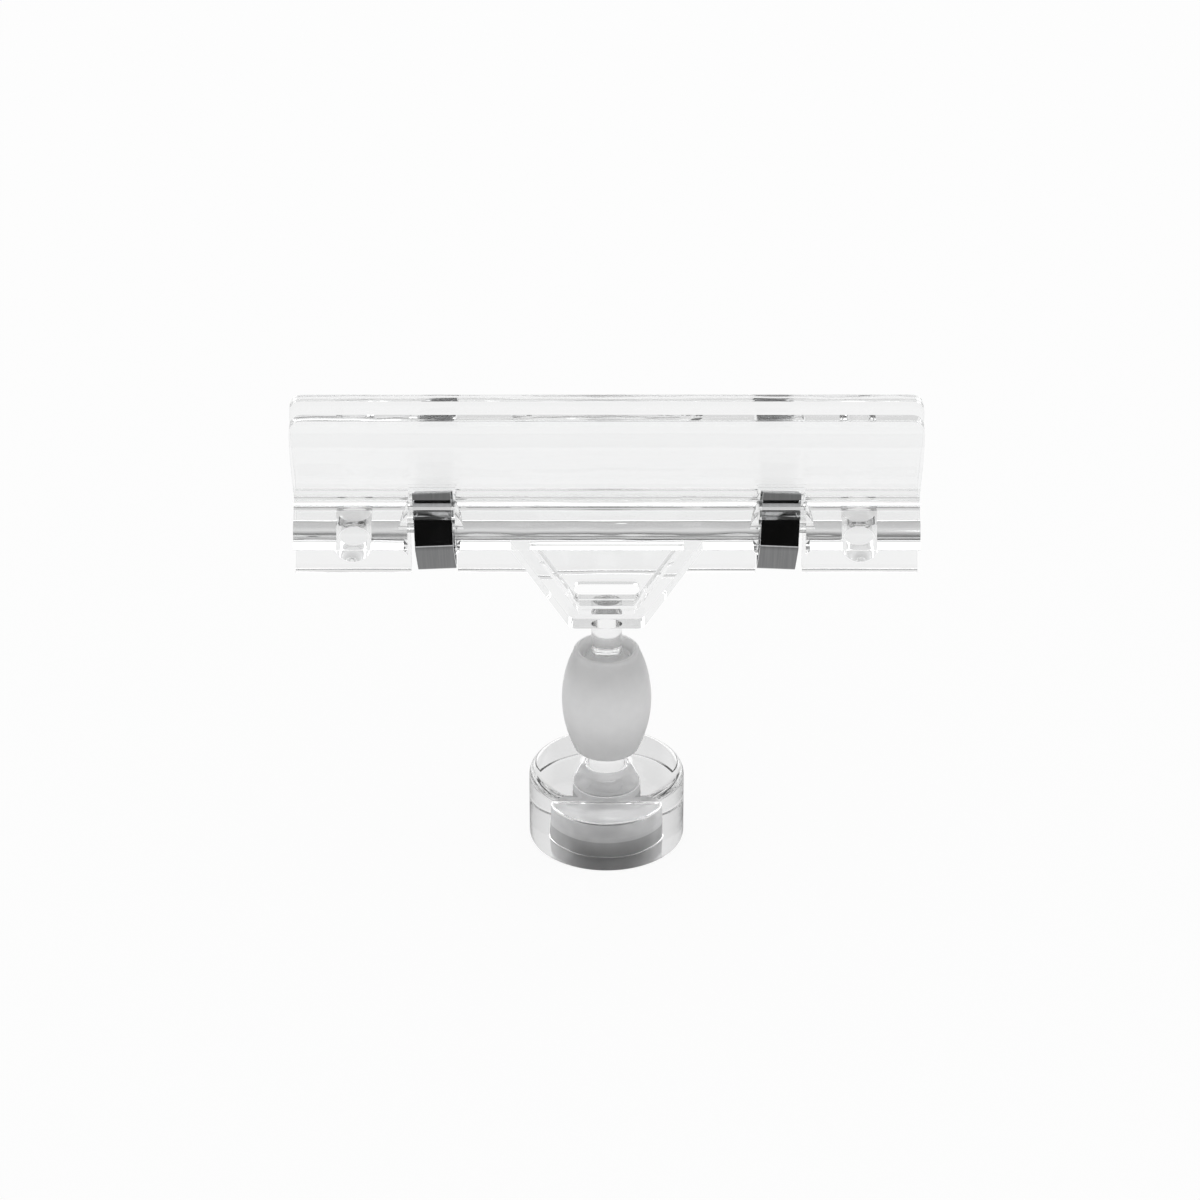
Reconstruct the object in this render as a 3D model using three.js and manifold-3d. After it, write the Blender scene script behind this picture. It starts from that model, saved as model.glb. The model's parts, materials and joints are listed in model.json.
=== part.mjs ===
// Sign holder: a clear two-jaw clip on a double ball coupling and a round magnet base.
// Millimetres, +Z up. The origin is on the base's axis, on the surface that it stands on.
// X runs along the clip, and the clip's front faces -Y.

import * as THREE from 'three';
import { mergeVertices } from 'three/addons/utils/BufferGeometryUtils.js';
import Module from 'manifold-3d';

// Fits
const SEAT_GAP = 0.3;
const CUT_MARGIN = 1;

// Straight stretches in a rounded corner and round a full turn
const STEPS = 4;
const ROUND_SIDES = 40;

// Base and magnet
const BASE_DIAMETER = 20;
const BASE_HEIGHT = 10;
const BASE_TOP_ROUND = 1.3;
const BASE_HEEL_ROUND = 0.4;
const MAGNET_DIAMETER = 8.8;
const MAGNET_HEIGHT = 5;
const MAGNET_ROUND = 0.3;

// Ball studs and the coupling that joins them
const BALL_DIAMETER = 6.8;
const NECK_DIAMETER = 3.9;
const NECK_FLARE = 2.1;
const COUPLING_LIFT = 2.9;
const COUPLING_LENGTH = 14.7;
const COUPLING_DIAMETER = 11.5;
const COUPLING_RIM_DIAMETER = 8.6;
const COUPLING_RIM_ROUND = 0.6;
const SOCKET_SPACING = 8.3;
const MOUTH_DIAMETER = 7.2;
const THROAT_DIAMETER = 6.3;

// Bracket under the front jaw
const BRACKET_LIFT = 4;
const BRACKET_HEIGHT = 11.6;
const BRACKET_FOOT_WIDTH = 9.2;
const BRACKET_HEAD_WIDTH = 24.4;
const BRACKET_DEPTH = 4;
const BRACKET_CORNER = 0.8;
const RIM_WIDTH = 2.1;
const WEB_THICKNESS = 1.2;
const WINDOW_WIDTH = 8.5;
const WINDOW_HEIGHT = 2.2;
const WINDOW_LIFT = 4.6;

// Jaws: depths are from the plane where they meet, heights from the front jaw's waist line
const CLIP_WIDTH = 80;
const CLIP_SETBACK = 5;
const LIP_GAP = 0.3;
const LIP_THICKNESS = 1.85;
const LIP_HEIGHT = 2.2;
const LIP_CORNER = 1.8;
const END_TUCK = 0.5;
const FRONT_LIP_RISE = 11.05;
const REAR_LIP_RISE = 12.8;
const THROAT_RELIEF = 0.9;
const WAIST_DEPTH = 3;
const WAIST_RISE = 0.8;
const WAIST_FILLET = 1.3;
const REAR_WAIST_DROP = 2.7;
const RIDGE_RADIUS = 1;
const RIDGE_FACE = 0.5;
const RIDGE_DROP = 2.6;
const BEAD_REACH = 7.5;
const BEAD_NOSE_DROP = 1.45;
const BEAD_HEIGHT = 4.5;
const BEAD_HEEL = 1.9;
const BEAD_ROUND = 1;
const BEAD_FOOT_ROUND = 0.3;
const HANDLE_REACH = 5;
const HANDLE_THICKNESS = 2;
const HANDLE_DROP = 13.7;
const HANDLE_ROUND = 0.3;
const SHOULDER_ROUND = 0.6;
const STOP_DIAMETER = 4.6;
const STOP_OFFSET = 32;
const STOP_LIFT = 0.6;
const STOP_INSET = 0.3;
const LUG_DIAMETER = 8.4;
const LUG_LIFT = 2.2;

// Leaf springs, and the windows, straps and notches that hold them
const SPRING_OFFSET = 22.1;
const SPRING_WIDTH = 4.9;
const SPRING_THICKNESS = 0.4;
const SPRING_SKEW = THREE.MathUtils.degToRad(2.5);
const SPRING_ARM_RISE = 1.6;
const SPRING_ARM_FOOT = 1.2;
const SPRING_BULGE = 4.6;
const SPRING_BULGE_DROP = 5.7;
const SPRING_REAR_BULGE_DROP = 7.2;
const SPRING_BEND_DROP = 11.5;
const SPRING_BEND_CUT = 1.2;
const SLOT_SIDE_GAP = 0.55;
const SLOT_FLOOR = 2.75;
const WINDOW_RISE = 2.5;
const STRAP_DROP = 0.2;
const STRAP_HEIGHT = 1.2;
const STRAP_THICKNESS = 1.2;

// Heights that follow from the stack
const lowerBallZ = BASE_HEIGHT + COUPLING_LIFT + (COUPLING_LENGTH - SOCKET_SPACING) / 2;
const upperBallZ = lowerBallZ + SOCKET_SPACING;
const couplingTopZ = BASE_HEIGHT + COUPLING_LIFT + COUPLING_LENGTH;
const bracketZ = couplingTopZ + BRACKET_LIFT;
const beadZ = bracketZ + BRACKET_HEIGHT;
const waistZ = beadZ + BEAD_HEIGHT;
const rockingZ = waistZ - RIDGE_DROP;
const armDepth = SLOT_FLOOR + SEAT_GAP + SPRING_THICKNESS / 2;
const strapBackDepth = armDepth + SPRING_THICKNESS / 2 + SEAT_GAP;
const strapFrontDepth = strapBackDepth + STRAP_THICKNESS;
const slotWidth = SPRING_WIDTH + 2 * SLOT_SIDE_GAP;

const wasm = await Module();
wasm.setup();

/** Closed solid of a geometry, with its shared corners merged and empty triangles dropped. */
function solid(geometry) {
  const bare = new THREE.BufferGeometry();
  bare.setAttribute('position', geometry.getAttribute('position'));
  bare.setIndex(geometry.getIndex());
  const merged = mergeVertices(bare, 1e-5);
  const index = merged.getIndex().array;
  const triangles = [];
  for (let i = 0; i < index.length; i += 3) {
    const [a, b, c] = index.subarray(i, i + 3);
    if (a !== b && b !== c && c !== a) triangles.push(a, b, c);
  }
  const mesh = new wasm.Mesh({
    numProp: 3,
    vertProperties: new Float32Array(merged.getAttribute('position').array),
    triVerts: new Uint32Array(triangles),
  });
  return new wasm.Manifold(mesh);
}

/** Geometry of a solid, ready for a mesh. */
function toGeometry(manifold) {
  const { vertProperties, triVerts } = manifold.getMesh();
  const geometry = new THREE.BufferGeometry();
  geometry.setAttribute('position', new THREE.BufferAttribute(new Float32Array(vertProperties), 3));
  geometry.setIndex(new THREE.BufferAttribute(new Uint32Array(triVerts), 1));
  geometry.computeVertexNormals();
  return geometry;
}

/** Path through [x, y, cut] corners, each rounded by a curve that starts `cut` before it. */
function softPath(path, corners, closed) {
  const count = corners.length;
  const points = corners.map(([x, y]) => new THREE.Vector2(x, y));
  corners.forEach(([, , cut = 0], i) => {
    const end = !closed && (i === 0 || i === count - 1);
    const before = points[(i + count - 1) % count].clone().sub(points[i]).setLength(end ? 0 : cut);
    const after = points[(i + 1) % count].clone().sub(points[i]).setLength(end ? 0 : cut);
    const entry = points[i].clone().add(before);
    const exit = points[i].clone().add(after);
    if (i === 0) path.moveTo(entry.x, entry.y);
    else path.lineTo(entry.x, entry.y);
    if (cut > 0 && !end) path.quadraticCurveTo(points[i].x, points[i].y, exit.x, exit.y);
  });
  if (closed) path.closePath();
  return path;
}

const outline = (corners) => softPath(new THREE.Shape(), corners, true);

/** Prism along X of a side profile whose first axis is Y and whose second is Z. */
function alongX(shape, width) {
  const options = { depth: width, bevelEnabled: false, curveSegments: STEPS };
  const geometry = new THREE.ExtrudeGeometry(shape, options).translate(0, 0, -width / 2);
  const axes = [new THREE.Vector3(0, 1, 0), new THREE.Vector3(0, 0, 1), new THREE.Vector3(1, 0, 0)];
  return geometry.applyMatrix4(new THREE.Matrix4().makeBasis(...axes));
}

/** Plate in the XZ plane, from a front outline, between two depths. */
function alongY(shape, nearY, farY) {
  const options = { depth: farY - nearY, bevelEnabled: false, curveSegments: STEPS };
  const geometry = new THREE.ExtrudeGeometry(shape, options);
  const axes = [new THREE.Vector3(1, 0, 0), new THREE.Vector3(0, 0, 1), new THREE.Vector3(0, -1, 0)];
  return geometry.applyMatrix4(new THREE.Matrix4().makeBasis(...axes)).translate(0, farY, 0);
}

/** Solid of revolution about Z of a profile of radius and height. */
const turned = (path) =>
  new THREE.LatheGeometry(path.getPoints(STEPS), ROUND_SIDES).rotateX(Math.PI / 2);

/** Box between two corners. */
function boxBetween(low, high) {
  const size = high.map((value, i) => value - low[i]);
  const middle = high.map((value, i) => (value + low[i]) / 2);
  return new THREE.BoxGeometry(...size).translate(...middle);
}

/** Rod along Y or X between two places on that axis. */
function rod(axis, radius, from, to) {
  const geometry = new THREE.CylinderGeometry(radius, radius, to - from, ROUND_SIDES);
  geometry.translate(0, (from + to) / 2, 0);
  return axis === 'x' ? geometry.rotateZ(-Math.PI / 2) : geometry;
}

/** Round base with its magnet pocket below, and its flared neck and ball above. */
function baseSolid() {
  const radius = BASE_DIAMETER / 2;
  const neck = NECK_DIAMETER / 2;
  const ball = BALL_DIAMETER / 2;
  const pocket = MAGNET_DIAMETER / 2 + SEAT_GAP;
  const join = Math.asin(neck / ball);
  const path = new THREE.Path();
  path.moveTo(0, MAGNET_HEIGHT + SEAT_GAP);
  path.lineTo(pocket, MAGNET_HEIGHT + SEAT_GAP);
  path.lineTo(pocket, 0);
  path.lineTo(radius - BASE_HEEL_ROUND, 0);
  path.quadraticCurveTo(radius, 0, radius, BASE_HEEL_ROUND);
  path.lineTo(radius, BASE_HEIGHT - BASE_TOP_ROUND);
  path.absarc(radius - BASE_TOP_ROUND, BASE_HEIGHT - BASE_TOP_ROUND, BASE_TOP_ROUND, 0, Math.PI / 2);
  path.lineTo(neck + NECK_FLARE, BASE_HEIGHT);
  path.absarc(neck + NECK_FLARE, BASE_HEIGHT + NECK_FLARE, NECK_FLARE, -Math.PI / 2, -Math.PI, true);
  path.absarc(0, lowerBallZ, ball, join - Math.PI / 2, Math.PI / 2);
  return turned(path);
}

/** Plated disc magnet with rounded edges. */
function magnetSolid() {
  const radius = MAGNET_DIAMETER / 2;
  const path = new THREE.Path();
  path.moveTo(0, 0);
  path.lineTo(radius - MAGNET_ROUND, 0);
  path.absarc(radius - MAGNET_ROUND, MAGNET_ROUND, MAGNET_ROUND, -Math.PI / 2, 0);
  path.absarc(radius - MAGNET_ROUND, MAGNET_HEIGHT - MAGNET_ROUND, MAGNET_ROUND, 0, Math.PI / 2);
  path.lineTo(0, MAGNET_HEIGHT);
  return turned(path);
}

/** Barrel-shaped coupling with a ball socket and a flared mouth at each end. */
function couplingSolid() {
  const bottom = BASE_HEIGHT + COUPLING_LIFT;
  const middle = bottom + COUPLING_LENGTH / 2;
  const socket = BALL_DIAMETER / 2 + SEAT_GAP;
  const throat = THROAT_DIAMETER / 2;
  const mouth = MOUTH_DIAMETER / 2;
  const rim = COUPLING_RIM_DIAMETER / 2;
  const half = COUPLING_LENGTH / 2 - COUPLING_RIM_ROUND;
  const swell = COUPLING_DIAMETER / 2 - rim;
  const barrelRadius = (half * half + swell * swell) / (2 * swell);
  const barrelTurn = Math.asin(half / barrelRadius);
  const throatTurn = Math.acos(throat / socket);
  const path = new THREE.Path();
  path.moveTo(0, lowerBallZ + socket);
  path.absarc(0, lowerBallZ, socket, Math.PI / 2, -throatTurn, true);
  path.lineTo(mouth, bottom);
  path.lineTo(rim - COUPLING_RIM_ROUND, bottom);
  path.quadraticCurveTo(rim, bottom, rim, bottom + COUPLING_RIM_ROUND);
  path.absarc(rim + swell - barrelRadius, middle, barrelRadius, -barrelTurn, barrelTurn);
  path.quadraticCurveTo(rim, couplingTopZ, rim - COUPLING_RIM_ROUND, couplingTopZ);
  path.lineTo(mouth, couplingTopZ);
  path.absarc(0, upperBallZ, socket, throatTurn, -Math.PI / 2, true);
  return turned(path);
}

/** Neck and ball that hang from the bracket into the coupling. */
function upperStud() {
  const neck = NECK_DIAMETER / 2;
  const ball = BALL_DIAMETER / 2;
  const join = Math.asin(neck / ball);
  const path = new THREE.Path();
  path.moveTo(0, upperBallZ - ball);
  path.absarc(0, upperBallZ, ball, -Math.PI / 2, Math.PI / 2 - join);
  path.lineTo(neck, bracketZ + RIM_WIDTH / 2);
  path.lineTo(0, bracketZ + RIM_WIDTH / 2);
  return turned(path);
}

/** Half the bracket's width at a height above its foot. */
const bracketHalf = (rise) =>
  (BRACKET_FOOT_WIDTH + ((BRACKET_HEAD_WIDTH - BRACKET_FOOT_WIDTH) * rise) / BRACKET_HEIGHT) / 2;

/** Trapezoid of the bracket, drawn in by `inset` from its sloping sides and its foot. */
function bracketOutline(inset, corner) {
  const lean = (BRACKET_HEAD_WIDTH - BRACKET_FOOT_WIDTH) / 2 / BRACKET_HEIGHT;
  const sideInset = inset * Math.hypot(1, lean);
  const top = BRACKET_HEIGHT + BEAD_ROUND;
  const foot = bracketHalf(inset) - sideInset;
  const head = bracketHalf(top) - sideInset;
  return outline([
    [-foot, bracketZ + inset, corner],
    [foot, bracketZ + inset, corner],
    [head, bracketZ + top],
    [-head, bracketZ + top],
  ]);
}

/** Clear bracket: a thin web with an oblong window, inside a raised rim. */
function bracketSolid() {
  const face = BRACKET_DEPTH / 2;
  const web = WEB_THICKNESS / 2;
  const windowZ = bracketZ + WINDOW_LIFT;
  const halfWidth = WINDOW_WIDTH / 2;
  const halfHeight = WINDOW_HEIGHT / 2;
  const window = outline([
    [-halfWidth, windowZ - halfHeight, halfHeight],
    [halfWidth, windowZ - halfHeight, halfHeight],
    [halfWidth, windowZ + halfHeight, halfHeight],
    [-halfWidth, windowZ + halfHeight, halfHeight],
  ]);
  const block = solid(alongY(bracketOutline(0, BRACKET_CORNER), -face, face));
  const recess = bracketOutline(RIM_WIDTH, 0);
  return block
    .subtract(solid(alongY(recess, -face - CUT_MARGIN, -web)))
    .subtract(solid(alongY(recess, web, face + CUT_MARGIN)))
    .subtract(solid(alongY(window, -face, face)));
}

/** Front outline of a jaw: rounded lip corners, and ends drawn in from the lip to the waist. */
function jawOutline(bottom, top, footHalf) {
  const half = CLIP_WIDTH / 2;
  const waist = half - END_TUCK;
  const shape = new THREE.Shape();
  shape.moveTo(-footHalf, bottom);
  shape.lineTo(footHalf, bottom);
  shape.lineTo(waist, waistZ + WAIST_RISE);
  shape.quadraticCurveTo(half, (waistZ + top) / 2, half, top - LIP_CORNER);
  shape.quadraticCurveTo(half, top, half - LIP_CORNER, top);
  shape.lineTo(LIP_CORNER - half, top);
  shape.quadraticCurveTo(-half, top, -half, top - LIP_CORNER);
  shape.quadraticCurveTo(-half, (waistZ + top) / 2, -waist, waistZ + WAIST_RISE);
  return shape;
}

/** Corners of a jaw from the rocking line up its inner face, over the lip and down to the waist. */
const upperCorners = (lipZ, waistDrop) => [
  [RIDGE_FACE, rockingZ - RIDGE_RADIUS - SEAT_GAP],
  [RIDGE_FACE, rockingZ + RIDGE_RADIUS + SEAT_GAP],
  [THROAT_RELIEF, rockingZ + RIDGE_RADIUS + SEAT_GAP + THROAT_RELIEF, THROAT_RELIEF / 2],
  [THROAT_RELIEF, lipZ - LIP_HEIGHT - 2 * THROAT_RELIEF, THROAT_RELIEF],
  [LIP_GAP / 2, lipZ - LIP_HEIGHT],
  [LIP_GAP / 2, lipZ],
  [LIP_GAP / 2 + LIP_THICKNESS, lipZ],
  [WAIST_DEPTH, waistZ + WAIST_RISE - waistDrop, WAIST_FILLET],
];

/** Side profile of the front jaw: lip, waist and the bead that serves as its handle. */
function frontProfile(lipZ) {
  const corners = [
    ...upperCorners(lipZ, 0),
    [BEAD_REACH, waistZ - BEAD_NOSE_DROP, BEAD_ROUND],
    [BEAD_REACH, beadZ, BEAD_FOOT_ROUND],
    [BEAD_HEEL, beadZ, HANDLE_ROUND],
  ];
  return outline(corners.map(([depth, z, cut]) => [CLIP_SETBACK - depth, z, cut]));
}

/** Side profile of the rear jaw: lip, waist and the long flat handle. */
function rearProfile(lipZ) {
  const innerDepth = HANDLE_REACH - HANDLE_THICKNESS;
  const corners = [
    ...upperCorners(lipZ, REAR_WAIST_DROP),
    [HANDLE_REACH, waistZ - REAR_WAIST_DROP, SHOULDER_ROUND],
    [HANDLE_REACH, waistZ - HANDLE_DROP, HANDLE_ROUND],
    [innerDepth, waistZ - HANDLE_DROP, HANDLE_ROUND],
    [innerDepth, beadZ, BEAD_ROUND],
  ];
  return outline(corners.map(([depth, z, cut]) => [CLIP_SETBACK + depth, z, cut]));
}

/** Cut for one spring in a jaw: a window above its strap, ways behind and before it, a notch below. */
function springCut(x, side, strapTop, strapFront, notchDepth) {
  const slice = (near, far, low, high) => {
    const depths = [CLIP_SETBACK + side * near, CLIP_SETBACK + side * far].sort((a, b) => a - b);
    return solid(boxBetween([x - slotWidth / 2, depths[0], low], [x + slotWidth / 2, depths[1], high]));
  };
  const strapBottom = strapTop - STRAP_HEIGHT;
  const windowTop = strapTop + STRAP_DROP + WINDOW_RISE;
  const notchBottom = waistZ - HANDLE_DROP - CUT_MARGIN;
  const outside = Math.max(BEAD_REACH, HANDLE_REACH) + CUT_MARGIN;
  return slice(SLOT_FLOOR, outside, strapTop, windowTop)
    .add(slice(SLOT_FLOOR, strapBackDepth, strapBottom - CUT_MARGIN, strapTop + CUT_MARGIN))
    .add(slice(strapFront, outside, strapBottom - CUT_MARGIN, strapTop + CUT_MARGIN))
    .add(slice(SLOT_FLOOR, outside, notchBottom, strapBottom))
    .add(slice(notchDepth, outside, notchBottom, rockingZ - RIDGE_RADIUS - 2 * SEAT_GAP));
}

/** Rod on the line where the jaws rock. */
const rockingRod = (radius, overhang) =>
  solid(rod('x', radius, -CLIP_WIDTH / 2 - overhang, CLIP_WIDTH / 2 + overhang))
    .translate(0, CLIP_SETBACK, rockingZ);

/** Front jaw in one moulding with its bosses and lugs, its bracket and the upper ball stud. */
function frontJawSolid() {
  const lipZ = waistZ + FRONT_LIP_RISE;
  const waistHalf = CLIP_WIDTH / 2 - END_TUCK;
  const outside = BEAD_REACH + CUT_MARGIN;
  const outlineShape = jawOutline(beadZ - CUT_MARGIN, lipZ, waistHalf);
  const face = alongY(outlineShape, CLIP_SETBACK - outside, CLIP_SETBACK + outside);
  const bossFront = CLIP_SETBACK - BEAD_REACH + STOP_INSET;
  let jaw = solid(alongX(frontProfile(lipZ), CLIP_WIDTH)).intersect(solid(face));
  for (const side of [-1, 1]) {
    const stop = solid(rod('y', STOP_DIAMETER / 2, bossFront, CLIP_SETBACK - STOP_INSET));
    const lug = solid(rod('y', LUG_DIAMETER / 2, bossFront, CLIP_SETBACK - SLOT_FLOOR));
    const springX = side * SPRING_OFFSET;
    jaw = jaw
      .add(stop.translate(side * STOP_OFFSET, 0, beadZ + STOP_LIFT))
      .add(lug.translate(springX, 0, beadZ + LUG_LIFT))
      .subtract(springCut(springX, -1, waistZ - STRAP_DROP, strapFrontDepth, SLOT_FLOOR));
  }
  return jaw
    .subtract(rockingRod(RIDGE_RADIUS + SEAT_GAP, CUT_MARGIN))
    .add(bracketSolid())
    .add(solid(upperStud()));
}

/** Rear jaw with the ridge that it rocks on and the notches of its handle. */
function rearJawSolid() {
  const lipZ = waistZ + REAR_LIP_RISE;
  const strapTop = waistZ - REAR_WAIST_DROP - STRAP_DROP;
  const outside = HANDLE_REACH + CUT_MARGIN;
  const outlineShape = jawOutline(waistZ - HANDLE_DROP - CUT_MARGIN, lipZ, CLIP_WIDTH / 2);
  const face = alongY(outlineShape, CLIP_SETBACK - outside, CLIP_SETBACK + outside);
  let jaw = solid(alongX(rearProfile(lipZ), CLIP_WIDTH))
    .add(rockingRod(RIDGE_RADIUS, 0))
    .intersect(solid(face));
  for (const side of [-1, 1]) {
    jaw = jaw.subtract(springCut(side * SPRING_OFFSET, 1, strapTop, HANDLE_REACH, 0));
  }
  return jaw;
}

/** Leaf spring: one strip, bent to a V between the handles, with an arm on each jaw. */
function springSolid() {
  const corners = [
    [-armDepth, SPRING_ARM_RISE],
    [-armDepth, -SPRING_ARM_FOOT, SPRING_THICKNESS],
    [-SPRING_BULGE, -SPRING_BULGE_DROP, SPRING_THICKNESS],
    [0, -SPRING_BEND_DROP, SPRING_BEND_CUT],
    [SPRING_BULGE, -SPRING_REAR_BULGE_DROP, SPRING_THICKNESS],
    [armDepth, -SPRING_ARM_FOOT - REAR_WAIST_DROP, SPRING_THICKNESS],
    [armDepth, SPRING_ARM_RISE - REAR_WAIST_DROP],
  ];
  const line = softPath(new THREE.Path(), corners, false).getPoints(STEPS);
  const offset = (side) => line.map((point, i) => {
    const before = line[Math.max(i - 1, 0)];
    const after = line[Math.min(i + 1, line.length - 1)];
    const along = after.clone().sub(before).normalize();
    return point.clone().add(new THREE.Vector2(-along.y, along.x).multiplyScalar(side));
  });
  const edge = SPRING_THICKNESS / 2;
  const strip = new THREE.Shape([...offset(edge), ...offset(-edge).reverse()]);
  return alongX(strip, SPRING_WIDTH);
}

const clearPlastic = () =>
  new THREE.MeshStandardMaterial({ color: 0xeef0f1, roughness: 0.06, metalness: 0 });
const satinPlastic = () =>
  new THREE.MeshStandardMaterial({ color: 0xc9cacb, roughness: 0.45, metalness: 0 });
const brightSteel = () =>
  new THREE.MeshStandardMaterial({ color: 0x9a9b9d, roughness: 0.18, metalness: 1 });
const platedMagnet = () =>
  new THREE.MeshStandardMaterial({ color: 0x5d5d60, roughness: 0.3, metalness: 1 });

/** Named mesh of a geometry, in its own material. */
function piece(name, geometry, material) {
  const mesh = new THREE.Mesh(geometry, material);
  mesh.name = name;
  return mesh;
}

const holder = new THREE.Group();
holder.add(
  piece('base', toGeometry(solid(baseSolid())), clearPlastic()),
  piece('magnet', toGeometry(solid(magnetSolid())), platedMagnet()),
  piece('ball_coupling', toGeometry(solid(couplingSolid())), satinPlastic()),
  piece('front_jaw', toGeometry(frontJawSolid()), clearPlastic()),
  piece('rear_jaw', toGeometry(rearJawSolid()), clearPlastic()),
);
for (const [name, side] of [['spring_left', -1], ['spring_right', 1]]) {
  const spring = piece(name, toGeometry(solid(springSolid())), brightSteel());
  spring.position.set(side * SPRING_OFFSET, CLIP_SETBACK, waistZ);
  spring.rotation.y = side * SPRING_SKEW;
  holder.add(spring);
}

export default holder;
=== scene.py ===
"""Looks of a clear sign clip on a ball-jointed magnet base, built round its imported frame.

Sizes are in millimetres and are turned into metres where a mesh is drawn. The clip runs along X,
its front faces -Y, and the base stands on z = 0.
"""

import json
import logging
import math
from collections.abc import Sequence
from dataclasses import dataclass
from enum import Enum

import bpy
from mathutils import Matrix, Vector


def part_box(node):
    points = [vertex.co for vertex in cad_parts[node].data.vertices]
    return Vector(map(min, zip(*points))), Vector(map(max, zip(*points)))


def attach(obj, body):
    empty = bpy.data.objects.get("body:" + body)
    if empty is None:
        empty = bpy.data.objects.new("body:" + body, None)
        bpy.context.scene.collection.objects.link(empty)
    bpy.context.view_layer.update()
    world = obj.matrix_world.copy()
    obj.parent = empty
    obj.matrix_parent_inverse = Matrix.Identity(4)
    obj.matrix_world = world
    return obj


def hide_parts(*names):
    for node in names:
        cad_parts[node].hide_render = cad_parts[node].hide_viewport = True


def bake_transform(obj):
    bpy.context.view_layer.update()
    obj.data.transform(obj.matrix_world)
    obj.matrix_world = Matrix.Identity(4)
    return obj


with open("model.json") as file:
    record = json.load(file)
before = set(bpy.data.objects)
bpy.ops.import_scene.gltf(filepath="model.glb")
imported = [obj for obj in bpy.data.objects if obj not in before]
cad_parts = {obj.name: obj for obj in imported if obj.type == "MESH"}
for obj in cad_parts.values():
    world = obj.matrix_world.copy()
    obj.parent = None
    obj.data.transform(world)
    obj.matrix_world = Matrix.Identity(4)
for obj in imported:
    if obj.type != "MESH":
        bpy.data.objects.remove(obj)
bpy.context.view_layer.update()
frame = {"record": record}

MM = 0.001
CURVE_STEPS = 8
ROUND_STEPS = 96
MERGE_DISTANCE = 1e-6
OVERSHOOT = 1.0
BEVEL_ANGLE = math.radians(33)
SMOOTH_ANGLE = math.radians(38)
EDGE_FACES = 3
THIN_EDGE_FACES = 2
NOISE_LOW, NOISE_HIGH = 0.35, 0.65

# The value and colour sockets of a Mix node share their names, so they are found by number.
FACTOR, VALUE_A, VALUE_B, COLOUR_A, COLOUR_B, COLOUR_OUT = 0, 2, 3, 6, 7, 2

log = logging.getLogger("sign_holder")

Corner = tuple[float, ...]
Path = list[tuple[float, float]]
Outline = list[Vector]
Steps = Sequence[tuple[float, float]]
Colours = tuple[Corner, Corner]


class Side(Enum):
    """Which half of the clip a piece belongs to, seen from the front."""

    LEFT = -1
    RIGHT = 1


class Join(Enum):
    """How one solid acts on another."""

    ADD = "UNION"
    CUT = "DIFFERENCE"
    KEEP_COMMON = "INTERSECT"


class Body(Enum):
    """Bodies of the frame that pieces ride on."""

    BASE = "base"
    COUPLING = "coupling"
    FRONT_JAW = "front_jaw"
    REAR_JAW = "rear_jaw"


class Slot(Enum):
    """Material slots of the record."""

    CLEAR = "clear_plastic"
    SATIN = "satin_plastic"
    STEEL = "spring_steel"
    MAGNET = "magnet_plating"


def joint_place(name: str) -> Vector:
    """Place of a joint of the frame.

    Args:
        name: the joint's name in the record.

    Returns:
        The joint's position in millimetres.
    """
    joints = frame["record"]["behaviour"]["joints"]
    found = next(joint for joint in joints if joint["name"] == name)
    return Vector(found["pos_m"]) / MM


def node_box(name: str) -> tuple[Vector, Vector]:
    """Lowest and highest corner of a node of the frame, in millimetres."""
    low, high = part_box(name)
    return Vector(low) / MM, Vector(high) / MM


# Drawing and joining solids


def curve(start: Vector, middle: Vector, end: Vector) -> Path:
    """Points on a curve that leaves towards a middle point and arrives from it.

    Args:
        start: the curve's first point, across and up.
        middle: the point that it bends towards.
        end: its last point.

    Returns:
        The points, in order.
    """
    shares = [step / CURVE_STEPS for step in range(CURVE_STEPS + 1)]
    return [tuple(start * (1 - t) ** 2 + middle * (2 * t * (1 - t)) + end * t ** 2) for t in shares]


def soft_corners(corners: list[Corner], closed: bool = True) -> Path:
    """Path through corners, each rounded by a curve that starts a set distance before it.

    Args:
        corners: (across, up, cut) corners; a corner without a cut stays sharp.
        closed: whether the last corner joins the first.

    Returns:
        The points of the path, in order.
    """
    count = len(corners)
    spots = [Vector(corner[:2]) for corner in corners]
    path: Path = []
    for i, corner in enumerate(corners):
        cut = corner[2] if len(corner) > 2 else 0.0
        if cut == 0.0 or (not closed and i in (0, count - 1)):
            path.append(tuple(spots[i]))
            continue
        entry = spots[i] + (spots[i - 1] - spots[i]).normalized() * cut
        leave = spots[i] + (spots[(i + 1) % count] - spots[i]).normalized() * cut
        path += curve(entry, spots[i], leave)
    return path


def arc(centre: Corner, radius: float, start: float, end: float, steps: int) -> Path:
    """Points on an arc.

    Args:
        centre: the arc's centre, across and up.
        radius: its radius.
        start: angle of its first point, in radians.
        end: angle of its last point.
        steps: number of straight stretches.

    Returns:
        The points, in order.
    """
    angles = [start + (end - start) * i / steps for i in range(steps + 1)]
    return [(centre[0] + radius * math.cos(a), centre[1] + radius * math.sin(a)) for a in angles]


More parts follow.
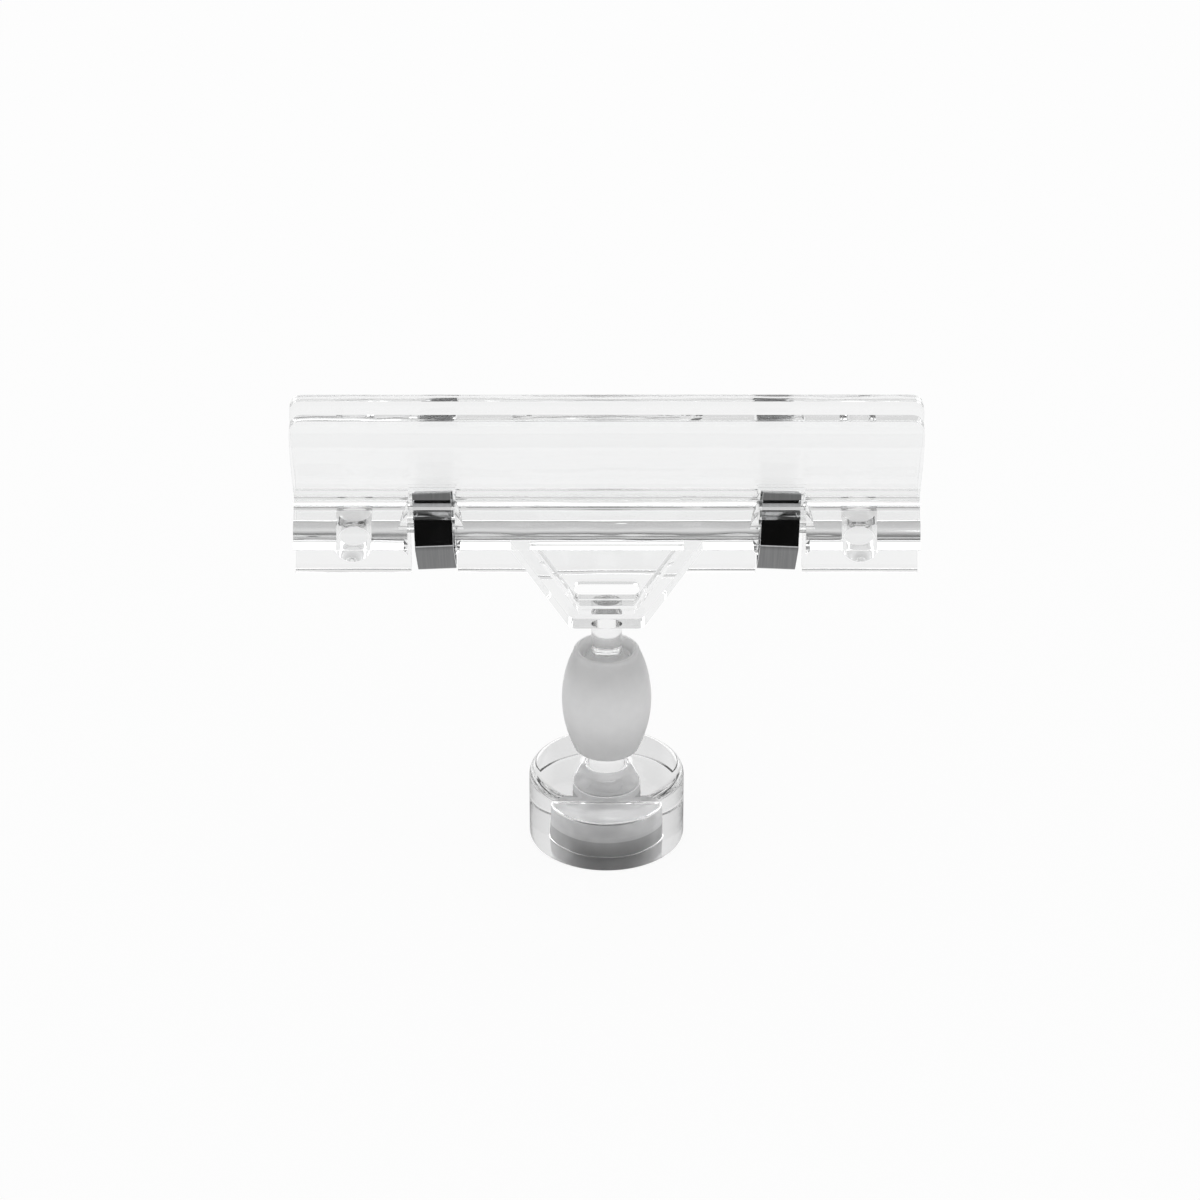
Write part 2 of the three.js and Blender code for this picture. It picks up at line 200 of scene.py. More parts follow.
def draw_line(name: str, points: Outline) -> bpy.types.Object:
    """Draws a line by extruding one vertex from point to point, and stays in edit mode.

    Args:
        name: name of the new object.
        points: points of the line, in millimetres.

    Returns:
        The new object, with all of its line selected.
    """
    bpy.ops.object.select_all(action="DESELECT")
    bpy.ops.mesh.primitive_plane_add(size=MM)
    drawn = bpy.context.object
    drawn.name = name
    drawn.data.name = name
    bpy.ops.object.mode_set(mode="EDIT")
    bpy.ops.mesh.select_mode(type="VERT")
    bpy.ops.mesh.select_all(action="SELECT")
    bpy.ops.mesh.merge(type="CENTER")
    bpy.ops.transform.translate(value=points[0] * MM)
    for before, after in zip(points, points[1:]):
        bpy.ops.mesh.extrude_region_move(TRANSFORM_OT_translate={"value": (after - before) * MM})
    bpy.ops.mesh.select_all(action="SELECT")
    return drawn


def close_shell(merge: bool) -> None:
    """Turns all faces of the mesh in edit mode outwards and leaves edit mode.

    Args:
        merge: whether doubled vertices are merged first.
    """
    bpy.ops.mesh.select_all(action="SELECT")
    if merge:
        bpy.ops.mesh.remove_doubles(threshold=MERGE_DISTANCE)
    bpy.ops.mesh.normals_make_consistent(inside=False)
    bpy.ops.object.mode_set(mode="OBJECT")


def prism(name: str, points: Outline, reach: Vector) -> bpy.types.Object:
    """Solid made by filling an outline and extruding it.

    Args:
        name: name of the solid.
        points: its outline, in millimetres.
        reach: how far and where the outline is extruded.

    Returns:
        The solid.
    """
    drawn = draw_line(name, points)
    bpy.ops.mesh.edge_face_add()
    bpy.ops.mesh.extrude_region_move(TRANSFORM_OT_translate={"value": reach * MM})
    close_shell(merge=False)
    return drawn


def spun(name: str, profile: Path) -> bpy.types.Object:
    """Solid of revolution about the base's axis.

    Args:
        name: name of the solid.
        profile: radius and height of the points of its profile, from axis to axis.

    Returns:
        The solid.
    """
    drawn = draw_line(name, [Vector((radius, 0, z)) for radius, z in profile])
    bpy.ops.mesh.spin(steps=ROUND_STEPS, angle=math.tau, center=(0, 0, 0), axis=(0, 0, 1))
    close_shell(merge=True)
    return drawn


def block(name: str, low: Corner, high: Corner) -> bpy.types.Object:
    """Box between two corners, which cuts another solid.

    Args:
        name: name of the box.
        low: its lowest corner, in millimetres.
        high: its highest corner.

    Returns:
        The box.
    """
    size = Vector(high) - Vector(low)
    middle = (Vector(high) + Vector(low)) / 2
    bpy.ops.object.select_all(action="DESELECT")
    bpy.ops.mesh.primitive_cube_add(size=MM, location=middle * MM, scale=size)
    made = bpy.context.object
    made.name = name
    bpy.ops.object.transform_apply(location=True, rotation=True, scale=True)
    return made


def rod(name: str, radius: float, start: Corner, end: Corner) -> bpy.types.Object:
    """Round rod between two points, which is joined to another solid or cuts it.

    Args:
        name: name of the rod.
        radius: its radius, in millimetres.
        start: middle of its first end.
        end: middle of its last end.

    Returns:
        The rod.
    """
    along = Vector(end) - Vector(start)
    middle = (Vector(end) + Vector(start)) / 2
    turn = Vector((0, 0, 1)).rotation_difference(along).to_euler()
    bpy.ops.object.select_all(action="DESELECT")
    bpy.ops.mesh.primitive_cylinder_add(
        vertices=ROUND_STEPS,
        radius=radius * MM,
        depth=along.length * MM,
        location=middle * MM,
        rotation=turn,
    )
    made = bpy.context.object
    made.name = name
    bpy.ops.object.transform_apply(location=True, rotation=True, scale=True)
    return made


def only(piece: bpy.types.Object) -> None:
    """Makes a piece the only selected object, and the active one.

    Args:
        piece: the piece.
    """
    bpy.ops.object.select_all(action="DESELECT")
    piece.select_set(True)
    bpy.context.view_layer.objects.active = piece


def combine(target: bpy.types.Object, tool: bpy.types.Object, way: Join) -> None:
    """Joins or cuts a solid with another one, which is used up.

    Args:
        target: the solid that changes.
        tool: the solid that acts on it.
        way: what is done.
    """
    only(target)
    modifier = target.modifiers.new(way.value.lower(), "BOOLEAN")
    modifier.operation = way.value
    modifier.solver = "EXACT"
    modifier.object = tool
    bpy.ops.object.modifier_apply(modifier=modifier.name)
    mesh = tool.data
    bpy.data.objects.remove(tool)
    bpy.data.meshes.remove(mesh)


def soften(piece: bpy.types.Object, width: float, segments: int) -> None:
    """Rounds a piece's sharp edges and smooths its shading, with flat faces kept flat.

    Args:
        piece: the piece.
        width: width of the rounding, in millimetres.
        segments: faces across the rounding.
    """
    only(piece)
    bevel = piece.modifiers.new("edges", "BEVEL")
    bevel.width = width * MM
    bevel.segments = segments
    bevel.limit_method = "ANGLE"
    bevel.angle_limit = BEVEL_ANGLE
    bpy.ops.object.modifier_apply(modifier=bevel.name)
    bpy.ops.object.shade_smooth_by_angle(angle=SMOOTH_ANGLE)
    weighted = piece.modifiers.new("flat_faces", "WEIGHTED_NORMAL")
    weighted.keep_sharp = True
    bpy.ops.object.modifier_apply(modifier=weighted.name)


def dress(piece: bpy.types.Object, material: bpy.types.Material) -> None:
    """Gives a piece its one material."""
    piece.data.materials.clear()
    piece.data.materials.append(material)


def settle(piece: bpy.types.Object, node: str, body: Body) -> None:
    """Puts a finished piece on its body, in the place of the frame's node.

    Args:
        piece: the piece.
        node: the node that it stands for.
        body: the body that it rides on.
    """
    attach(piece, body.value)
    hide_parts(node)
    log.info("%s: %d faces, rides on %s", piece.name, len(piece.data.polygons), body.value)


# Finishes


def new_group(name: str, inputs: dict[str, float], outputs: list[str]) -> bpy.types.NodeTree:
    """Empty shader node group with value sockets.

    Args:
        name: name of the group.
        inputs: names and default values of its inputs.
        outputs: names of its outputs.

    Returns:
        The group.
    """
    group = bpy.data.node_groups.new(name, "ShaderNodeTree")
    for label, value in inputs.items():
        socket = group.interface.new_socket(label, in_out="INPUT", socket_type="NodeSocketFloat")
        socket.default_value = value
    for label in outputs:
        group.interface.new_socket(label, in_out="OUTPUT", socket_type="NodeSocketFloat")
    return group


def grey_ramp(nodes: bpy.types.Nodes, steps: Steps) -> bpy.types.Node:
    """Ramp through a row of greys.

    Args:
        nodes: nodes of the tree that the ramp is for.
        steps: place from 0 to 1 and grey of each step.

    Returns:
        The ramp.
    """
    ramp = nodes.new("ShaderNodeValToRGB")
    marks = ramp.color_ramp.elements
    while len(marks) < len(steps):
        marks.new(1.0)
    for mark, (place, grey) in zip(marks, steps):
        mark.position = place
        mark.color = (grey, grey, grey, 1.0)
    return ramp


def handled_surface() -> bpy.types.NodeTree:
    """Group for a moulded or plated surface: uneven gloss from handling, and a fine ripple.

    Returns:
        The group, built once; it puts out a roughness and a height.
    """
    name = "handled_surface"
    if name in bpy.data.node_groups:
        return bpy.data.node_groups[name]
    inputs = {"Patch Scale": 120.0, "Low": 0.02, "High": 0.08, "Ripple Scale": 300.0}
    group = new_group(name, inputs, ["Roughness", "Height"])
    nodes, links = group.nodes, group.links
    given = nodes.new("NodeGroupInput")
    put = nodes.new("NodeGroupOutput")
    place = nodes.new("ShaderNodeTexCoord")
    patches = nodes.new("ShaderNodeTexNoise")
    patches.inputs["Detail"].default_value = 4.0
    spread = nodes.new("ShaderNodeMapRange")
    spread.inputs["From Min"].default_value = NOISE_LOW
    spread.inputs["From Max"].default_value = NOISE_HIGH
    ripple = nodes.new("ShaderNodeTexNoise")
    ripple.inputs["Detail"].default_value = 2.0
    links.new(place.outputs["Object"], patches.inputs["Vector"])
    links.new(place.outputs["Object"], ripple.inputs["Vector"])
    links.new(given.outputs["Patch Scale"], patches.inputs["Scale"])
    links.new(given.outputs["Ripple Scale"], ripple.inputs["Scale"])
    links.new(patches.outputs["Fac"], spread.inputs["Value"])
    links.new(given.outputs["Low"], spread.inputs["To Min"])
    links.new(given.outputs["High"], spread.inputs["To Max"])
    links.new(spread.outputs["Result"], put.inputs["Roughness"])
    links.new(ripple.outputs["Fac"], put.inputs["Height"])
    return group


@dataclass(frozen=True)
class Finish:
    """What every finish has: a colour that drifts, a gloss that varies and a ripple.

    Attributes:
        name: name of the material.
        colours: the two colours that it drifts between.
        grain: how many patches of colour a metre has, along each axis.
        gloss: lowest and highest roughness.
        patch_scale: how many gloss patches a metre has.
        ripple_scale: how many ripples a metre has.
        ripple_height: height of the ripple, in millimetres.
    """

    name: str
    colours: Colours
    grain: Corner
    gloss: Corner
    patch_scale: float
    ripple_scale: float
    ripple_height: float

    def start(self) -> tuple[bpy.types.Material, bpy.types.Node]:
        """Makes the material with its gloss and ripple.

        Returns:
            The material and its shader node.
        """
        material = bpy.data.materials.new(self.name)
        material.use_nodes = True
        nodes, links = material.node_tree.nodes, material.node_tree.links
        shader = nodes["Principled BSDF"]
        surface = nodes.new("ShaderNodeGroup")
        surface.node_tree = handled_surface()
        surface.inputs["Patch Scale"].default_value = self.patch_scale
        surface.inputs["Ripple Scale"].default_value = self.ripple_scale
        surface.inputs["Low"].default_value = self.gloss[0]
        surface.inputs["High"].default_value = self.gloss[1]
        bump = nodes.new("ShaderNodeBump")
        bump.inputs["Distance"].default_value = self.ripple_height * MM
        links.new(surface.outputs["Roughness"], shader.inputs["Roughness"])
        links.new(surface.outputs["Height"], bump.inputs["Height"])
        links.new(bump.outputs["Normal"], shader.inputs["Normal"])
        return material, shader

    def drift(self, material: bpy.types.Material, shader: bpy.types.Node) -> bpy.types.NodeSocket:
        """Lets the base colour drift between the two colours.

        Args:
            material: the material.
            shader: its shader node.

        Returns:
            The socket of the drifting colour.
        """
        nodes, links = material.node_tree.nodes, material.node_tree.links
        place = nodes.new("ShaderNodeTexCoord")
        stretch = nodes.new("ShaderNodeMapping")
        stretch.inputs["Scale"].default_value = self.grain
        noise = nodes.new("ShaderNodeTexNoise")
        noise.inputs["Scale"].default_value = 1.0
        noise.inputs["Detail"].default_value = 5.0
        ramp = nodes.new("ShaderNodeValToRGB")
        for mark, spot, colour in zip(ramp.color_ramp.elements, (NOISE_LOW, NOISE_HIGH), self.colours):
            mark.position = spot
            mark.color = (*colour, 1.0)
        links.new(place.outputs["Object"], stretch.inputs["Vector"])
        links.new(stretch.outputs["Vector"], noise.inputs["Vector"])
        links.new(noise.outputs["Fac"], ramp.inputs["Fac"])
        links.new(ramp.outputs["Color"], shader.inputs["Base Color"])
        return ramp.outputs["Color"]


@dataclass(frozen=True)
class ClearPlastic(Finish):
    """Clear polished moulding, with the long low ripple of its mould."""

    name: str = Slot.CLEAR.value
    colours: Colours = ((0.988, 0.99, 0.99), (0.994, 0.996, 0.996))
    grain: Corner = (90.0, 90.0, 90.0)
    gloss: Corner = (0.0, 0.03)
    patch_scale: float = 60.0
    ripple_scale: float = 70.0
    ripple_height: float = 0.3
    refraction: float = 1.49

    def material(self) -> bpy.types.Material:
        """Makes the material.

        Returns:
            The material of the clear mouldings.
        """
        material, shader = self.start()
        self.drift(material, shader)
        shader.inputs["Transmission Weight"].default_value = 1.0
        shader.inputs["IOR"].default_value = self.refraction
        return material


@dataclass(frozen=True)
class SatinPlastic(Finish):
    """Satin white moulding, slightly translucent, with painted light in its sockets: their inner walls are
    painted paler.
    """

    name: str = Slot.SATIN.value
    colours: Colours = ((0.83, 0.83, 0.835), (0.87, 0.87, 0.875))
    grain: Corner = (400.0, 400.0, 400.0)
    gloss: Corner = (0.42, 0.52)
    patch_scale: float = 300.0
    ripple_scale: float = 2500.0
    ripple_height: float = 0.01
    refraction: float = 1.46
    scatter: float = 8.0
    # Painted light: the socket walls are painted this near-white, standing in for light that comes through
    # the thin walls.
    inside: Corner = (0.98, 0.98, 0.98)
    socket_light_radius: float = 3.8
    socket_light_edge: float = 0.1

    def material(self) -> bpy.types.Material:
        """Makes the material.

        Returns:
            The material of the ball coupling.
        """
        material, shader = self.start()
        outside = self.drift(material, shader)
        nodes, links = material.node_tree.nodes, material.node_tree.links
        # Painted light: within the sockets' radius of the axis the base colour is painted near-white.
        place = nodes.new("ShaderNodeTexCoord")
        flat = nodes.new("ShaderNodeVectorMath")
        flat.operation = "MULTIPLY"
        flat.inputs[1].default_value = (1.0, 1.0, 0.0)
        length = nodes.new("ShaderNodeVectorMath")
        length.operation = "LENGTH"
        edge = nodes.new("ShaderNodeMapRange")
        edge.inputs["From Min"].default_value = self.socket_light_radius * MM
        edge.inputs["From Max"].default_value = (self.socket_light_radius + self.socket_light_edge) * MM
        edge.inputs["To Min"].default_value = 1.0
        edge.inputs["To Max"].default_value = 0.0
        mix = nodes.new("ShaderNodeMix")
        mix.data_type = "RGBA"
        mix.inputs[COLOUR_B].default_value = (*self.inside, 1.0)
        links.new(place.outputs["Object"], flat.inputs[0])
        links.new(flat.outputs["Vector"], length.inputs[0])
        links.new(length.outputs["Value"], edge.inputs["Value"])
        links.new(edge.outputs["Result"], mix.inputs[FACTOR])
        links.new(outside, mix.inputs[COLOUR_A])
        links.new(mix.outputs[COLOUR_OUT], shader.inputs["Base Color"])
        shader.inputs["IOR"].default_value = self.refraction
        shader.inputs["Subsurface Weight"].default_value = 1.0
        shader.inputs["Subsurface Radius"].default_value = (1.0, 1.0, 1.0)
        shader.inputs["Subsurface Scale"].default_value = self.scatter * MM
        return material


@dataclass(frozen=True)
class DrawnMetal(Finish):
    """Spring steel, drawn in fine lines along the strip."""

    name: str = Slot.STEEL.value
    colours: Colours = ((0.46, 0.463, 0.468), (0.53, 0.534, 0.54))
    grain: Corner = (4000.0, 60.0, 60.0)
    gloss: Corner = (0.05, 0.1)
    patch_scale: float = 200.0
    ripple_scale: float = 900.0
    ripple_height: float = 0.002

    def material(self) -> bpy.types.Material:
        """Makes the material.

        Returns:
            The material of a metal piece.
        """
        material, shader = self.start()
        self.drift(material, shader)
        shader.inputs["Metallic"].default_value = 1.0
        return material


@dataclass(frozen=True)
class PlatedMagnet(DrawnMetal):
    """Plated disc, darker round its lower side, with a painted highlight line above that."""

    name: str = Slot.MAGNET.value
    colours: Colours = ((0.9, 0.9, 0.905), (0.97, 0.97, 0.975))
    grain: Corner = (600.0, 600.0, 600.0)
    gloss: Corner = (0.5, 0.62)
    patch_scale: float = 400.0
    ripple_scale: float = 1500.0
    ripple_height: float = 0.004
    # Height in millimetres and grey of each band: darker below 2.1 mm, and a painted highlight line from 2.2
    # to 2.9 mm, just under the top edge.
    dark_foot_and_highlight_bands: Steps = ((2.1, 0.75), (2.2, 1.0), (2.9, 1.0), (3.0, 0.97))
    height: float = 5.0

    def material(self) -> bpy.types.Material:
        """Makes the material.

        Returns:
            The material of the magnet.
        """
        material = super().material()
        nodes, links = material.node_tree.nodes, material.node_tree.links
        base_colour = nodes["Principled BSDF"].inputs["Base Color"]
        plated = base_colour.links[0].from_socket
        place = nodes.new("ShaderNodeTexCoord")
        parts = nodes.new("ShaderNodeSeparateXYZ")
        share = nodes.new("ShaderNodeMath")
        share.operation = "DIVIDE"
        share.inputs[1].default_value = self.height * MM
        dark_foot_and_highlight_bands = grey_ramp(nodes, [(rise / self.height, grey) for rise, grey in self.dark_foot_and_highlight_bands])
        mix = nodes.new("ShaderNodeMix")
        mix.data_type = "RGBA"
        mix.blend_type = "MULTIPLY"
        mix.inputs[FACTOR].default_value = 1.0
        links.new(place.outputs["Object"], parts.inputs[0])
        links.new(parts.outputs["Z"], share.inputs[0])
        links.new(share.outputs[0], dark_foot_and_highlight_bands.inputs["Fac"])
        links.new(plated, mix.inputs[COLOUR_A])
        links.new(dark_foot_and_highlight_bands.outputs["Color"], mix.inputs[COLOUR_B])
        links.new(mix.outputs[COLOUR_OUT], base_colour)
        return material


# Sub-assemblies


@dataclass
class MagnetFoot:
    """Round clear base with its neck and ball, and the disc magnet in its underside."""

    radius: float
    ball_z: float
    magnet_radius: float
    magnet_height: float
    height: float = 10.0
    top_round: float = 1.3
    heel_round: float = 0.4
    ball_radius: float = 3.4
    neck_radius: float = 1.95
    neck_flare: float = 2.1
    edge_round: float = 0.12
    magnet_round: float = 0.3
    magnet_edge: float = 0.1
    bond: float = 0.004

    def base(self, material: bpy.types.Material) -> None:
        """Makes the clear base.

        Args:
            material: its finish.
        """
        bonded, roof = self.magnet_radius - self.bond, self.magnet_height - self.bond
        join = math.asin(self.neck_radius / self.ball_radius)
        flare_x = self.neck_radius + self.neck_flare
        profile = [(0.0, roof), (bonded, roof), (bonded, 0.0)]
        heel = (self.radius - self.heel_round, self.heel_round)
        profile += arc(heel, self.heel_round, -math.pi / 2, 0.0, CURVE_STEPS)
        shoulder = (self.radius - self.top_round, self.height - self.top_round)
        profile += arc(shoulder, self.top_round, 0.0, math.pi / 2, 2 * CURVE_STEPS)
        flare = (flare_x, self.height + self.neck_flare)
        profile += arc(flare, self.neck_flare, -math.pi / 2, -math.pi, 2 * CURVE_STEPS)
        profile += arc((0.0, self.ball_z), self.ball_radius, join - math.pi / 2, math.pi / 2, 4 * CURVE_STEPS)
        piece = spun("base_moulding", profile)
        soften(piece, self.edge_round, EDGE_FACES)
        dress(piece, material)
        settle(piece, "base", Body.BASE)

    def magnet(self, material: bpy.types.Material) -> None:
        """Makes the disc magnet.

        Args:
            material: its finish.
        """
        inner = self.magnet_radius - self.magnet_round
        profile = [(0.0, 0.0), (self.magnet_radius, 0.0)]
        top = (inner, self.magnet_height - self.magnet_round)
        profile += arc(top, self.magnet_round, 0.0, math.pi / 2, CURVE_STEPS)
        profile += [(0.0, self.magnet_height)]
        piece = spun("disc_magnet", profile)
        soften(piece, self.magnet_edge, THIN_EDGE_FACES)
        dress(piece, material)
        settle(piece, "magnet", Body.BASE)


@dataclass
class BallCoupling:
    """Satin barrel with a ball socket at each end."""

    bottom: float
    top: float
    lower_ball_z: float
    upper_ball_z: float
    radius: float = 5.75
    rim_radius: float = 4.3
    rim_round: float = 0.6
    socket_radius: float = 3.7
    throat_radius: float = 3.15
    mouth_radius: float = 3.6
    edge_round: float = 0.15

    def barrel(self, material: bpy.types.Material) -> None:
        """Makes the barrel.

        Args:
            material: its finish.
        """
        half = (self.top - self.bottom) / 2 - self.rim_round
        swell = self.radius - self.rim_radius
        bow = (half * half + swell * swell) / (2 * swell)
        turn = math.asin(half / bow)
        throat = math.acos(self.throat_radius / self.socket_radius)
        middle = (self.bottom + self.top) / 2
        lower = (0.0, self.lower_ball_z)
        upper = (0.0, self.upper_ball_z)
        profile = arc(lower, self.socket_radius, math.pi / 2, -throat, 3 * CURVE_STEPS)
        edge, inner = self.rim_round, self.rim_radius - self.rim_round
        profile += [(self.mouth_radius, self.bottom)]
        profile += arc((inner, self.bottom + edge), edge, -math.pi / 2, 0.0, CURVE_STEPS)[:-1]
        profile += arc((self.radius - bow, middle), bow, -turn, turn, 5 * CURVE_STEPS)
        profile += arc((inner, self.top - edge), edge, 0.0, math.pi / 2, CURVE_STEPS)[1:]
        profile += [(self.mouth_radius, self.top)]
        profile += arc(upper, self.socket_radius, throat, -math.pi / 2, 3 * CURVE_STEPS)
        piece = spun("socket_barrel", profile)
        soften(piece, self.edge_round, EDGE_FACES)
        dress(piece, material)
        settle(piece, "ball_coupling", Body.COUPLING)


@dataclass
class Jaw:
    """What the two jaws share: the lip, the waist, the rocking line and the spring slots."""

    pivot: Vector
    width: float
    lip_z: float
    ridge_drop: float = 2.6
    lip_gap: float = 0.3
    lip_thickness: float = 1.85
    lip_height: float = 2.2
    lip_corner: float = 1.8
    end_tuck: float = 0.5
    throat_relief: float = 0.9
    waist_depth: float = 3.0
    waist_rise: float = 0.8
    waist_fillet: float = 1.3
    waist_drop: float = 0.0
    ridge_radius: float = 1.0
    ridge_face: float = 0.5
    seat_gap: float = 0.3
    handle_drop: float = 13.7
    handle_round: float = 0.3
    bead_round: float = 1.0
    bead_height: float = 4.5
    strap_rise: float = -0.2
    strap_height: float = 1.2
    strap_back: float = 3.75
    strap_front: float = 4.95
    window_rise: float = 2.5
    slot_floor: float = 2.75
    slot_width: float = 6.0
    slot_reach: float = 8.5
    spring_offset: float = 22.1
    edge_round: float = 0.08

    @property
    def waist_z(self) -> float:
        """Height of the waist line, from which the jaw's other heights are measured."""
        return self.pivot.z + self.ridge_drop

    def inner_corners(self) -> list[Corner]:
        """Corners that both jaws have, from the rocking line over the lip to the waist.

        Returns:
            Depth from the meeting plane, height and rounding of each corner.
        """
        foot = self.ridge_radius + self.seat_gap
        relief = self.throat_relief
        pivot_z = self.pivot.z
        lip_foot = self.lip_z - self.lip_height
        return [
            (self.ridge_face, pivot_z - foot),
            (self.ridge_face, pivot_z + foot),
            (relief, pivot_z + foot + relief, relief / 2),
            (relief, lip_foot - 2 * relief, relief),
            (self.lip_gap / 2, lip_foot),
            (self.lip_gap / 2, self.lip_z),
            (self.lip_gap / 2 + self.lip_thickness, self.lip_z),
            (self.waist_depth, self.waist_z + self.waist_rise - self.waist_drop, self.waist_fillet),
        ]

    def along(self, name: str, corners: list[Corner], facing: int) -> bpy.types.Object:
        """Extrudes a side profile along the clip.

        Args:
            name: name of the solid.
            corners: depth, height and rounding of the profile's corners.
            facing: -1 where the depths run to the front, 1 where they run to the back.

        Returns:
            The solid.
        """
        path = soft_corners(corners)
        outline = [Vector((-self.width / 2, self.pivot.y + facing * depth, z)) for depth, z in path]
        return prism(name, outline, Vector((self.width, 0, 0)))

    def face_block(self, bottom: float, foot_half: float) -> bpy.types.Object:
        """Block with the front outline of a jaw: rounded lip corners and drawn-in ends.

        Args:
            bottom: height of its foot.
            foot_half: half its width there.

        Returns:
            The block, which trims the jaw.
        """
        half = self.width / 2
        waist_z = self.waist_z + self.waist_rise
        start, end = Vector((half - self.end_tuck, waist_z)), Vector((half, self.lip_z - self.lip_corner))
        last = Vector((half - self.lip_corner, self.lip_z))
        side = [(foot_half, bottom)]
        side += curve(start, Vector((half, (self.waist_z + self.lip_z) / 2)), end)
        side += curve(end, Vector((half, self.lip_z)), last)[1:]
        ring = side + [(-x, z) for x, z in reversed(side)]
        depth = 2 * self.slot_reach
        outline = [Vector((x, self.pivot.y - depth, z)) for x, z in ring]
        return prism("jaw_face", outline, Vector((0, 2 * depth, 0)))

    def rocking_rod(self, radius: float, overhang: float) -> bpy.types.Object:
        """Rod on the line where the jaws rock.

        Args:
            radius: its radius.
            overhang: how far it stands out at each end.

        Returns:
            The rod.
        """
        reach = self.width / 2 + overhang
        place = (self.pivot.y, self.pivot.z)
        return rod("rocking_line", radius, (-reach, *place), (reach, *place))

    def cut_spring_slot(self, jaw: bpy.types.Object, side: Side, facing: int, notch_depth: float) -> None:
        """Cuts the window above the strap, the way behind it and the notch below it.

        Args:
            jaw: the jaw.
            side: which spring the slot is for.
            facing: -1 for the front jaw, 1 for the rear one.
            notch_depth: depth at which the notch in the handle starts.
        """
        middle = side.value * self.spring_offset
        strap_top = self.waist_z + self.strap_rise - self.waist_drop
        strap_bottom = strap_top - self.strap_height
        window_top = self.waist_z + self.window_rise - self.waist_drop
        notch_bottom = self.waist_z - self.handle_drop - OVERSHOOT
        notch_top = self.pivot.z - self.ridge_radius - 2 * self.seat_gap
        cuts = [
            (self.slot_floor, self.slot_reach, strap_top, window_top),
            (self.slot_floor, self.strap_back, strap_bottom - OVERSHOOT, strap_top + OVERSHOOT),
            (self.strap_front, self.slot_reach, strap_bottom - OVERSHOOT, strap_top + OVERSHOOT),
            (self.slot_floor, self.slot_reach, notch_bottom, strap_bottom),
            (notch_depth, self.slot_reach, notch_bottom, notch_top),
        ]
        for near, far, low, high in cuts:
            depths = sorted((self.pivot.y + facing * near, self.pivot.y + facing * far))
            tool = block(
                "spring_slot",
                (middle - self.slot_width / 2, depths[0], low),
                (middle + self.slot_width / 2, depths[1], high),
            )
            combine(jaw, tool, Join.CUT)


